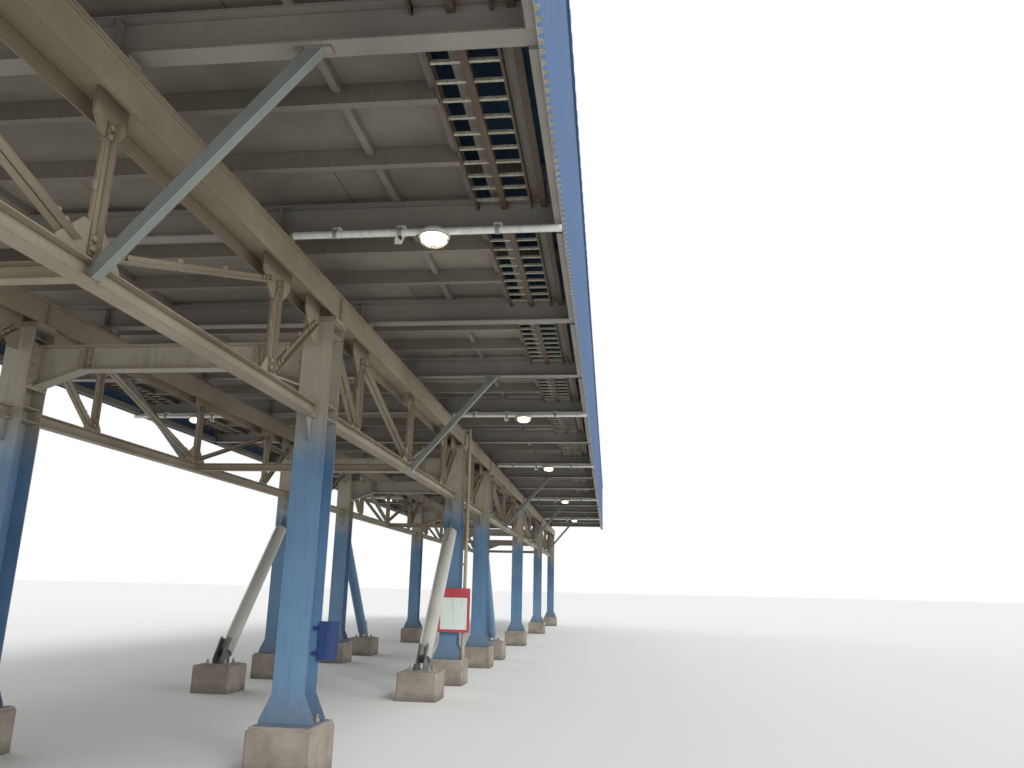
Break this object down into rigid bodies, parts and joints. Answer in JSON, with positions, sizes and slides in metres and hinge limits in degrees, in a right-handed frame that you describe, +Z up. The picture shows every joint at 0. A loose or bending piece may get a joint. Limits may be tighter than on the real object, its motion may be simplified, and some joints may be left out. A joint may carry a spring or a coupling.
{
  "type": "elevated conveyor gallery",
  "caption": "Sheet-clad gallery on a steel trestle of H-columns, truss girders and raking struts, with cable ladders and floodlights under its overhanging floor.",
  "frame": {"origin": "on the ground, in the middle of the gallery between its two rows of columns", "axes": "+X across the gallery to its outer side, +Y along the gallery to its far end, +Z up"},
  "size_m": [8.1468, 39.9, 6.8951],
  "materials": {
    "column_blue": "steel blue paint, satin",
    "truss_buff": "buff grey paint, satin, weathered",
    "beam_buff": "buff grey paint, satin",
    "deck_plate": "grey painted floor plate",
    "ladder_zinc": "galvanised, dull",
    "wall_blue": "blue coil-coated sheet",
    "roof_blue": "blue coil-coated sheet",
    "frame_buff": "buff grey paint",
    "raker_grey": "pale grey paint",
    "plinth_concrete": "cast concrete, matt",
    "lamp_white": "white enamel and clear cover",
    "pipe_grey": "grey paint"
  },
  "bodies": {
    "root": {"portal_1": "column_blue", "plinths_1": "plinth_concrete", "portal_2": "column_blue", "plinths_2": "plinth_concrete", "portal_3": "column_blue", "plinths_3": "plinth_concrete", "portal_4": "column_blue", "plinths_4": "plinth_concrete", "portal_5": "column_blue", "plinths_5": "plinth_concrete", "portal_6": "column_blue", "plinths_6": "plinth_concrete", "portal_7": "column_blue", "plinths_7": "plinth_concrete", "rakers_near": "raker_grey", "rakers_far": "raker_grey", "trusses_1": "truss_buff", "crossbeams_1": "beam_buff", "trusses_2": "truss_buff", "crossbeams_2": "beam_buff", "trusses_3": "truss_buff", "crossbeams_3": "beam_buff", "trusses_4": "truss_buff", "crossbeams_4": "beam_buff", "trusses_5": "truss_buff", "crossbeams_5": "beam_buff", "trusses_6": "truss_buff", "crossbeams_6": "beam_buff", "deck": "deck_plate", "cable_ladder_outer": "ladder_zinc", "cable_ladder_inner": "ladder_zinc", "wall_frame_outer": "frame_buff", "wall_frame_inner": "frame_buff", "wall_outer": "wall_blue", "wall_inner": "wall_blue", "roof_frame_outer": "frame_buff", "roof_frame_inner": "frame_buff", "roof_outer": "roof_blue", "roof_inner": "roof_blue", "downpipe": "pipe_grey", "lamps_1": "lamp_white", "lamps_2": "lamp_white", "lamps_3": "lamp_white", "lamps_4": "lamp_white", "lamps_5": "lamp_white"}
  },
  "joints": []
}
